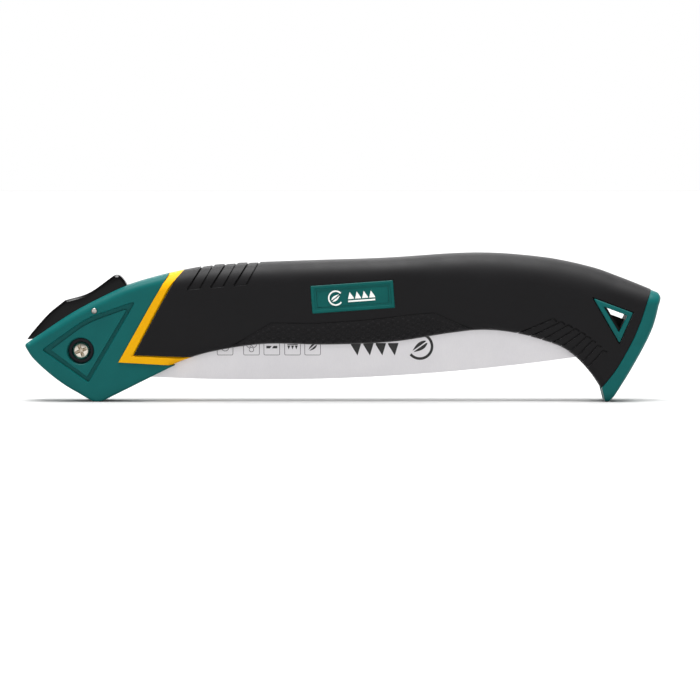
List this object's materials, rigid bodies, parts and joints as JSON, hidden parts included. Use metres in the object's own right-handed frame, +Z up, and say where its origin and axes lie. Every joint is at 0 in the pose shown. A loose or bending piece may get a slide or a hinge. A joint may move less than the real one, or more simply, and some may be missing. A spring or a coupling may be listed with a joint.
{
  "type": "folding pruning saw",
  "caption": "Folding pruning saw, shut: curved two-material handle, straight-backed blade in its slot, rocker lock lever, screw pivot and triangular lanyard eyelet.",
  "frame": {"origin": "bottom centre of the whole saw, on the surface that it stands on; the blade's pivot axis is at x = -0.1287 m, z = 0.0249 m", "axes": "+X along the handle from the pivot to the butt, +Y through the thickness from the screw-head side to the nut side, +Z up, with the saw folded and standing on its long edge"},
  "size_m": [0.3118, 0.0264, 0.073],
  "materials": {
    "green_plastic": "satin moulded",
    "badge_green": "smooth plate with a raised white mark",
    "black_grip": "fine-grained soft moulding",
    "yellow_plastic": "satin moulded",
    "nickel_screw": "nickel plated",
    "dark_steel": "blackened",
    "brass_bushing": "sintered bronze",
    "nylon_ring": "nylon",
    "nylon_washer": "nylon",
    "steel_pin": "ground",
    "spring_wire": "drawn wire",
    "black_lever": "glossy black",
    "blade_steel": null
  },
  "bodies": {
    "handle": {"handle_core": "green_plastic", "butt_cap": "green_plastic", "grip_sleeve": "black_grip", "accent_band": "yellow_plastic", "badge_left": "badge_green", "badge_right": "badge_green", "eyelet_left": "green_plastic", "eyelet_right": "green_plastic", "pivot_screw": "nickel_screw", "screw_washer": "dark_steel", "pivot_bushing": "brass_bushing", "pivot_nut": "nickel_screw", "nut_lock_ring": "nylon_ring", "nut_washer": "dark_steel", "thrust_washer_left": "nylon_washer", "thrust_washer_right": "nylon_washer", "stop_pin": "steel_pin", "lever_pin": "steel_pin", "lever_spring": "spring_wire"},
    "blade": {"saw_blade": "blade_steel"},
    "lever": {"lock_lever": "black_lever"}
  },
  "joints": [
    {"name": "blade_fold", "type": "hinge", "parent": "handle", "child": "blade", "pos_m": [-0.1287, 0, 0.0249], "axis": [0, 1, 0], "range_deg": [0, 180]},
    {"name": "lever_press", "type": "hinge", "parent": "handle", "child": "lever", "pos_m": [-0.1219, 0, 0.0446], "axis": [0, 1, 0], "range_deg": [-4, 8], "stiffness_Nm_per_rad": 0.2, "deforming": ["lever_spring"]}
  ]
}
